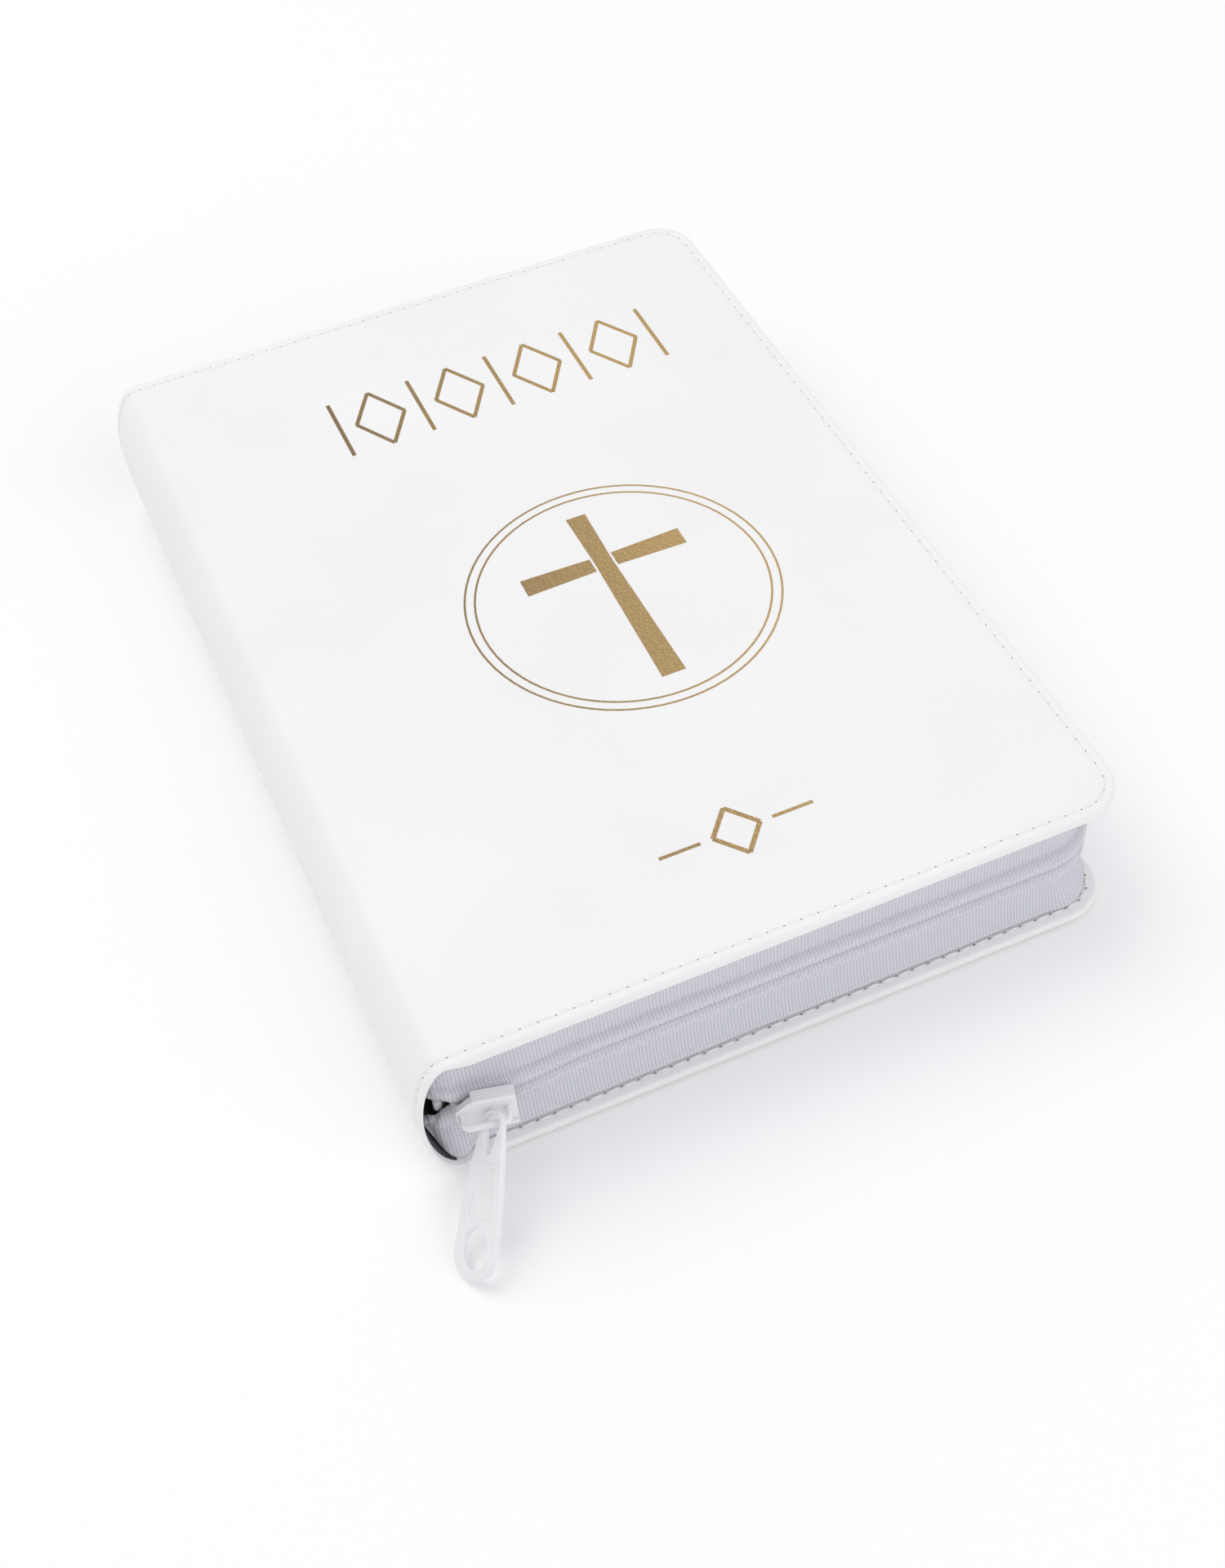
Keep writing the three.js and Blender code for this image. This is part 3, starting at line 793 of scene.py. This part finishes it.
def tape_seams(side, front):
    """Rows of short thread stitches that hold the coil behind the tape."""
    path = tape_path(TAPE_STITCH, 0, HINGE_X + 2, HINGE_X + 2)
    taper = [(0.0, 0.12), (0.35, 0.8), (0.5, 1.0), (0.65, 0.8), (1.0, 0.12)]
    parts = []
    for row, z in enumerate(TAPE_SEAMS):
        odd = row % 2
        for place, normal, run in path:
            along = Vector((-normal.y, normal.x, 0))
            centre = place + along * (TAPE_STITCH / 2 * odd)
            centre += normal * (section_out(z) + 0.03 + slider_bulge(place, z))
            centre.z = TOP_Z - z if front else z
            ahead = (along + Vector((0, 0, 0.35 if odd else -0.35))).normalized()
            side_way = ahead.cross(normal).normalized()
            frames = [(centre + ahead * (0.62 * (t - 0.5)), side_way, normal, size)
                      for t, size in taper]
            parts.append(tube(frames, circle(6, 0.17, 0.12)))
    piece = add_mesh(f"{side}_tape_seams", *gather(parts), LOOKS["tape_thread"])
    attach(piece, "front_cover" if front else "back_cover")


def zip_coil_piece(side, front):
    """The nylon coil behind a tape's edge: one long helix, flattened like a real element."""
    low, high = cad_box(f"{side}_zip_coil")
    middle = (low.z + high.z) / 2
    points = []
    half_deep, half_high, wire_inset, tail_gap = 0.52, 1.2, 0.65, 4.0
    for place, normal, run in tape_path(COIL_PITCH / 7, TAPE_OUT + low.y + wire_inset,
                                        low.x + tail_gap, HINGE_X + GAP):
        turn = 2 * math.pi * run / COIL_PITCH
        point = place + normal * (half_deep * math.sin(turn))
        points.append(Vector((point.x, point.y, middle + half_high * math.cos(turn))))
    wire = thread_path(points, [UP] * len(points))
    piece = add_mesh(f"{side}_coil_helix", *tube(wire, circle(5, 0.24)), LOOKS["nylon"])
    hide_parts(f"{side}_zip_coil")
    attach(piece, "front_cover" if front else "back_cover")


def make_zip():
    for side, front in (("lower", False), ("upper", True)):
        zip_tape_piece(side, front)
        tape_seams(side, front)
        zip_coil_piece(side, front)
    for name in ("upper_top_stop", "lower_top_stop", "bottom_stop"):
        stop_piece(name)


def stop_piece(name):
    """An end stop: a small crimped block with rounded edges."""
    low, high = cad_box(name)
    bm = bmesh.new()
    bmesh.ops.create_cube(bm, size=1.0)
    bmesh.ops.scale(bm, vec=(high - low) * MM, verts=bm.verts)
    bmesh.ops.translate(bm, vec=(low + high) / 2 * MM, verts=bm.verts)
    bmesh.ops.bevel(bm, geom=bm.edges[:], offset=0.25 * MM, segments=3, affect="EDGES")
    mesh = bpy.data.meshes.new(f"{name}_crimp")
    bm.to_mesh(mesh)
    bm.free()
    piece = add_object(f"{name}_crimp", mesh, LOOKS["nylon"])
    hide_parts(name)
    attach(piece, "book_block")


# ---- slider and pull ----

# The outer plate, lips and bridge sit askew. They are laid out square, with the head at
# X 0 and the lips' front at Y 0, and turned with the bridge bar, which the pull swings on.
BAR = Vector(JOINTS["pull_swing"]["pos_m"]) / MM
BAR_OUT = 2.13  # bar's middle in front of the lips
EYE_ALONG = 6.02  # bar's joint point from the head
ALONG = -Vector(JOINTS["pull_swing"]["axis"]).normalized()
INWARD = Vector((-ALONG.y, ALONG.x, 0))
SLIDER_LENGTH = 10.5
LIP_START = 3.0  # lips' start from the head
PLATE_SUNK = 0.5  # outer plate behind the lips' front


def askew(x, y, z):
    """A point of the square layout in the frame; z is from the slider's middle."""
    return BAR + ALONG * (x - EYE_ALONG) + INWARD * (y + BAR_OUT) + Vector((0, 0, z))


def slab(outline, low, high, place):
    """A plate from an outline in (x, z), between two depths."""
    return loft([[place(x, y, z) for x, z in outline] for y in (low, high)])


def slider_face(half):
    """The outer plate: narrow at its head, full width from LIP_START, and a little hollow."""
    rings = []
    for x, share in ((0.0, 0.34), (0.12, 0.4), (0.5, 0.47), (1.2, 0.6), (2.2, 0.82),
                     (LIP_START, 0.96), (SLIDER_LENGTH - 0.2, 0.94), (SLIDER_LENGTH, 0.9)):
        spots = spread(-1, 1, 12)
        front = [(PLATE_SUNK + 0.15 - 0.4 * abs(t) ** 3, half * share * t) for t in spots]
        back = [(1.5, half * share * t) for t in reversed(spots)]
        rings.append([askew(x, y, z) for y, z in front + back])
    return loft(rings)


def slider_lips(half):
    """The two lips that fold back over the tapes."""
    parts = []
    for sign in (-1, 1):
        outline = [(LIP_START - 0.1, half - 0.1), (LIP_START + 0.5, half),
                   (SLIDER_LENGTH, half * 0.96), (SLIDER_LENGTH, half - 1.15),
                   (LIP_START - 0.1, half - 1.0)]
        parts.append(slab([(x, sign * z) for x, z in outline], 0.0, 2.4, askew))
    return parts


def slider_bridge():
    """The bridge: a flattened bar that leaves the plate near the head and comes back."""
    head, tail, bend_radius, root = 0.9, 8.95, 1.3, PLATE_SUNK + 0.5
    turns = [math.radians(degrees) for degrees in range(0, 91, 15)]
    path = [(head, root)]
    path += [(head + bend_radius * (1 - math.cos(t)),
              bend_radius * (1 - math.sin(t)) - BAR_OUT) for t in turns]
    path += [(tail - bend_radius * (1 - math.cos(t)),
              bend_radius * (1 - math.sin(t)) - BAR_OUT) for t in reversed(turns)]
    path.append((tail, root))
    frames = []
    for k, spot in enumerate(path):
        before, after = neighbours(path, k)
        ahead = (askew(*after, 0) - askew(*before, 0)).normalized()
        flare = 1.3 if k in (0, len(path) - 1) else 1.0
        frames.append((askew(*spot, 0), ahead.cross(UP), UP, flare))
    return tube(frames, circle(16, 0.52, 0.72))


def beveled(name, parts, material, width):
    """Joins closed parts, bevels their sharp edges and shades them smooth."""
    piece = outward(add_mesh(name, *gather(parts), material))
    bevel = piece.modifiers.new("edges", "BEVEL")
    bevel.width = width * MM
    bevel.segments = 3
    bevel.limit_method = "ANGLE"
    bevel.angle_limit = math.radians(35)
    mesh = evaluated(piece)
    piece.modifiers.clear()
    piece.data = mesh
    mesh.polygons.foreach_set("use_smooth", [True] * len(mesh.polygons))
    return piece


def make_slider():
    low, high = cad_box("zip_slider")
    half = (high.z - low.z) / 2
    back = [(0, -half * 0.4), (LIP_START, -half), (SLIDER_LENGTH, -half * 0.94),
            (SLIDER_LENGTH, half * 0.94), (LIP_START, half), (0, half * 0.4)]
    post = [(0.7, -1.2), (2.2, -0.6), (2.2, 0.6), (0.7, 1.2)]
    post_y = -97.0  # where the post starts, inside the outer plate

    def square(x, y, z):
        return Vector((low.x + x, y, MID_Z + z))

    parts = [slider_face(half), *slider_lips(half),
             slab(back, high.y - 0.95, high.y, square),
             slab(post, post_y, high.y - 0.4, square)]
    body = beveled("slider_casting", parts, LOOKS["enamel"], 0.18)
    bridge = outward(add_mesh("slider_bridge", *slider_bridge(), LOOKS["enamel"]))
    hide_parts("zip_slider")
    for piece in (body, bridge):
        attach(piece, "slider")


PULL_LENGTH = 26.2
PULL_WIDTH = 9.4
PULL_EYE = 2.45  # outer radius at the bridge bar
PULL_HANG = (34.5, -30.0, -34.8)  # lean, roll and skew of the hanging tab, in degrees


def flat_layer(name, outline, holes, half_thick, edge):
    """A flat plate with holes and round edges, from a filled 2D curve."""
    curve = bpy.data.curves.new(name, "CURVE")
    curve.dimensions = "2D"
    curve.fill_mode = "BOTH"
    curve.extrude = (half_thick - edge) * MM
    curve.bevel_depth = edge * MM
    curve.bevel_resolution = 3
    curve.offset = -edge * MM
    for loop in [outline] + holes:
        spline = curve.splines.new("POLY")
        spline.points.add(len(loop) - 1)
        for point, (x, y) in zip(spline.points, loop):
            point.co = (x * MM, y * MM, 0, 1)
        spline.use_cyclic_u = True
    made = in_scene(name, curve)
    mesh = evaluated(made)
    bpy.data.objects.remove(made)
    return mesh


def tip_hole(a, b):
    """The oval hole near the tab's round end."""
    return [(x, y - PULL_LENGTH + 5.4) for x, y in circle(40, a, b)]


def pull_outline(grow=0.0):
    """The tab hangs along -Y from the bridge bar and widens from its eye to a round end."""
    eye, half = PULL_EYE, PULL_WIDTH / 2
    end = PULL_LENGTH - half
    right = []
    for t in spread(0, 1, 14)[1:-1]:  # a quadratic curve
        x = (1 - t) ** 2 * eye + 2 * t * (1 - t) * half * 0.92 + t * t * half
        right.append((x + grow, -t * (1 - t) * end - t * t * end))
    left = [(-x, y) for x, y in reversed(right)]
    return (arc(0, 0, eye + grow, math.pi, 0, 18) + right
            + arc(0, -end, half + grow, 0, -math.pi, 32) + left)


def eye_hole(grow=0.0):
    """A drop: round where the bar runs, narrow below."""
    return (arc(0, 0, PULL_EYE - 0.8 + grow, 0, math.pi, 16)
            + arc(0, -4.4, 0.6 + grow, math.pi, 2 * math.pi, 10))


def rounded_panel():
    """The sunk panel in the middle of the tab."""
    top, low, wide_top, wide_low, radius = -6.3, -PULL_LENGTH + 10.3, 1.9, 2.55, 0.8
    places = []
    for k, (x, y) in enumerate(((wide_top, top), (-wide_top, top), (-wide_low, low),
                                (wide_low, low))):
        inner_y = y - radius if y == top else y + radius
        start = k * math.pi / 2
        places += arc(x - math.copysign(radius, x), inner_y, radius, start,
                      start + math.pi / 2, 5)
    return places


def make_pull():
    rim = flat_layer("pull_rim", pull_outline(),
                     [eye_hole(), tip_hole(2.6, 3.55), rounded_panel()], 0.65, 0.3)
    web = flat_layer("pull_web", pull_outline(-0.7), [eye_hole(0.4), tip_hole(3.1, 4.0)],
                     0.36, 0.1)
    bm = bmesh.new()
    bm.from_mesh(rim)
    bm.from_mesh(web)
    mesh = bpy.data.meshes.new("pull_tab_cast")
    bm.to_mesh(mesh)
    bm.free()
    lean, roll, skew = (Matrix.Rotation(math.radians(degrees), 4, axis)
                        for degrees, axis in zip(PULL_HANG, "XYZ"))
    mesh.transform(Matrix.Translation(JOINTS["pull_swing"]["pos_m"]) @ skew @ lean @ roll)
    piece = add_object("pull_tab_cast", mesh, LOOKS["enamel"])
    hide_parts("pull_tab")
    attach(piece, "pull")


# ---- gold foil ----

FOIL = 0.05  # how far the foil stands on the skin
FOIL_SUNK = -0.1  # how far its edges go in


def foil_stroke(places, widths):
    """A stroke of foil along places (x, y) on the front cover, as a thin closed strip. widths
    is one width, or one for each place."""
    rings = []
    for k, (x, y) in enumerate(places):
        before, after = map(Vector, neighbours(places, k))
        along = (after - before).normalized()
        half = (widths[k] if isinstance(widths, list) else widths) / 2
        row = []
        for sign, lift in ((1, FOIL_SUNK), (1, FOIL), (-1, FOIL), (-1, FOIL_SUNK)):
            px, py = x - sign * half * along.y, y + sign * half * along.x
            row.append(Vector((px, py, TOP_Z + crown(px - HINGE_X, py) + lift)))
        rings.append(row)
    return loft(rings)


def foil_lozenge(x, y, half_width, half_height, width):
    """Four strokes between a lozenge's corners."""
    corners = [(x - half_width, y), (x, y + half_height), (x + half_width, y),
               (x, y - half_height)]
    return [foil_stroke(line(a, b), width) for a, b in zip(corners, corners[1:] + corners[:1])]


def line(a, b, step=2.0):
    """Places from a to b, about step apart."""
    count = max(2, round(math.dist(a, b) / step))
    return list(zip(spread(a[0], b[0], count), spread(a[1], b[1], count)))


def title_band():
    """A row of thin uprights and lozenges where a title would be."""
    left, pitch, low, high, thin = HINGE_X + 36, 18, 52.5, 70.5, 0.85
    parts = []
    for k in range(5):
        x = left + k * pitch
        parts.append(foil_stroke(line((x, low), (x, high)), thin))
    for k in range(4):
        parts += foil_lozenge(left + (k + 0.5) * pitch, (low + high) / 2, pitch * 0.3,
                              (high - low) / 2, thin)
    return parts


def emblem():
    """A plain cross with tapering arms inside two thin rings."""
    cx, cy = HINGE_X + 70, -8.0
    up, down, across, broad, taper = 22.0, 26.0, 17.0, 3.6, 1.0
    beam_y = cy + 7.5
    upright = line((cx, cy - down), (cx, cy + up), 1.5)
    parts = [foil_stroke(upright, [broad + taper * abs(y - beam_y) / down for _, y in upright])]
    for sign in (-1, 1):
        arm = line((cx + sign * (broad / 2 + 0.5), beam_y), (cx + sign * across, beam_y), 1.5)
        parts.append(foil_stroke(arm, [broad + taper * abs(x - cx) / across for x, _ in arm]))
    for radius in (29.0, 31.0):
        parts.append(foil_stroke(arc(cx, cy - 2, radius, 0, 2 * math.pi, 72), 0.4))
    return parts


def tail_ornament():
    """A small lozenge with a bar on each side, near the tail."""
    cx, cy, size = HINGE_X + 64, -EDGE_Y + 24, 4.6
    parts = foil_lozenge(cx, cy, size, size * 1.2, 0.9)
    for sign in (-1, 1):
        parts.append(foil_stroke(line((cx + sign * 7, cy), (cx + sign * 15, cy)), 0.7))
    return parts


def make_foil():
    for name, parts in (("title_foil", title_band()), ("emblem_foil", emblem()),
                        ("tail_foil", tail_ornament())):
        piece = outward(add_mesh(name, *gather(parts), LOOKS["foil"], smooth=False))
        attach(piece, "front_cover")


# ---- book block ----

LEAVES = 14  # visible layers at a section's edge


def leaf_outline(left, right, half):
    """Corners of a leaf that is rounded at the fore-edge."""
    radius = 5.0
    return [(left, -half), *arc(right - radius, radius - half, radius, -math.pi / 2, 0, 5),
            *arc(right - radius, half - radius, radius, 0, math.pi / 2, 5), (left, half)]


def section_piece(name, body):
    """One sewn section: a stack of leaves whose cut edges are a little uneven."""
    low, high = cad_box(name)
    rings = []
    for k in range(2 * LEAVES):
        share = (k + 1) // 2 / LEAVES
        edge = random.Random(hash_of(name, k // 2)).uniform(-0.11, 0.0)
        back = 0.35 * (2 * share - 1) ** 2
        z = low.z + (high.z - low.z) * share
        outline = leaf_outline(low.x + back, high.x + edge, high.y + edge)
        rings.append([Vector((x, y, z)) for x, y in outline])
    piece = add_mesh(f"{name}_leaves", *loft(rings), LOOKS["paper"], smooth=False)
    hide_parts(name)
    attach(piece, body)


def hash_of(name, number):
    """A seed that is the same in every run."""
    return sum(ord(c) * (i + 3) for i, c in enumerate(name)) * 131 + number


def headband_piece(end):
    """A silk-wound roll along the block's back at the head or the tail."""
    node = f"headband_{end}"
    low, high = cad_box(node)
    frames = []
    for share in spread(0, 1, 24):
        x = low.x + 1.2 + 0.9 * (2 * share - 1) ** 2
        z = low.z + 0.5 + (high.z - low.z - 1.0) * share
        frames.append((Vector((x, (low.y + high.y) / 2, z)), Vector((1, 0, 0)),
                       Vector((0, 1, 0)), 1.0))
    piece = add_mesh(f"{node}_roll", *tube(frames, circle(12, 1.0, 0.45)), LOOKS["headband"])
    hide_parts(node)
    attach(piece, "book_block")


def ribbon_piece():
    """The marker lies in the gutter between two sections, with a slight wave."""
    low, high = cad_box("ribbon_marker")
    middle = (low.z + high.z) / 2
    columns, rows = 7, 90

    def drift(y):
        return 0.6 * math.sin(y / 23)

    upper, under = ([Vector((x + drift(y), y, middle + lift + 0.03 * math.sin(y / 5 + j)))
                     for y in spread(low.y, high.y, rows)
                     for j, x in enumerate(spread(low.x, high.x, columns - 1))]
                    for lift in (0.06, -0.06))
    piece = outward(add_mesh("ribbon_satin", *closed_sheet(upper, under, columns),
                             LOOKS["ribbon"]))
    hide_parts("ribbon_marker")
    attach(piece, "book_block")


def make_block():
    for k in range(1, 13):
        body = "first_section" if k == 12 else "book_block"
        section_piece(f"section_{k:02d}", body)
    headband_piece("head")
    headband_piece("tail")
    ribbon_piece()


def finish_cad_nodes():
    """Stiff and flat CAD pieces keep their shape and get their material."""
    looks = {"board": ("front_cover_board", "back_cover_board", "spine_stiffener"),
             "lining": ("front_cover_lining", "back_cover_lining", "spine_lining"),
             "mull": ("block_mull",), "paper": ("back_flyleaf", "front_flyleaf")}
    for look, names in looks.items():
        for name in names:
            mesh = frame["nodes"][name].data
            mesh.materials.clear()
            mesh.materials.append(LOOKS[look])


# ---- stage ----

def make_camera():
    """A camera that looks along +Y at azimuth 0, turned by degrees."""
    azimuth, elevation, roll = 19.81, 49.57, -4.84
    aim, distance = Vector((-8.6, -41.0, 16.0)) * MM, 405.6 * MM
    data = bpy.data.cameras.new("camera")
    data.sensor_width = 36.0
    data.lens = 48.97
    camera = in_scene("camera", data)
    around, tilt, rolled = (Matrix.Rotation(math.radians(degrees), 4, axis) for degrees, axis
                            in ((-azimuth, "Z"), (90 - elevation, "X"), (roll, "Z")))
    turn = around @ tilt @ rolled
    place = aim + turn.to_3x3() @ Vector((0, 0, distance))
    camera.matrix_world = Matrix.Translation(place) @ turn
    bpy.context.scene.camera = camera


def add_area(name, place, size, watts, color):
    """A round lamp that faces the middle of the floor."""
    data = bpy.data.lights.new(name, "AREA")
    data.shape = "DISK"
    data.size = size
    data.energy = watts
    data.color = color
    lamp = in_scene(name, data)
    lamp.location = place
    lamp.rotation_euler = (-Vector(place)).to_track_quat("-Z", "Y").to_euler()


def make_stage():
    bpy.ops.mesh.primitive_plane_add(size=6.0, location=(0, 0, -0.0002))
    floor = bpy.context.object
    floor.name = "floor"
    look = Look("pale_floor", (0.93, 0.93, 0.93), 0.9, Emission_Strength=0.05)
    floor.data.materials.append(look.material)
    world = bpy.data.worlds.new("studio")
    world.use_nodes = True
    sky = world.node_tree.nodes["Background"].inputs
    sky["Color"].default_value = (0.965, 0.97, 1.0, 1)
    sky["Strength"].default_value = 0.71
    bpy.context.scene.world = world
    add_area("softbox", (-0.55, 0.75, 1.9), 2.0, 15, (1.0, 0.985, 0.96))
    add_area("fill", (0.7, -1.2, 0.9), 1.4, 5, (0.97, 0.98, 1.0))
    bpy.context.scene.view_settings.view_transform = "Standard"


make_camera()
make_case()
make_zip()
make_slider()
make_pull()
make_foil()
make_block()
finish_cad_nodes()
make_stage()
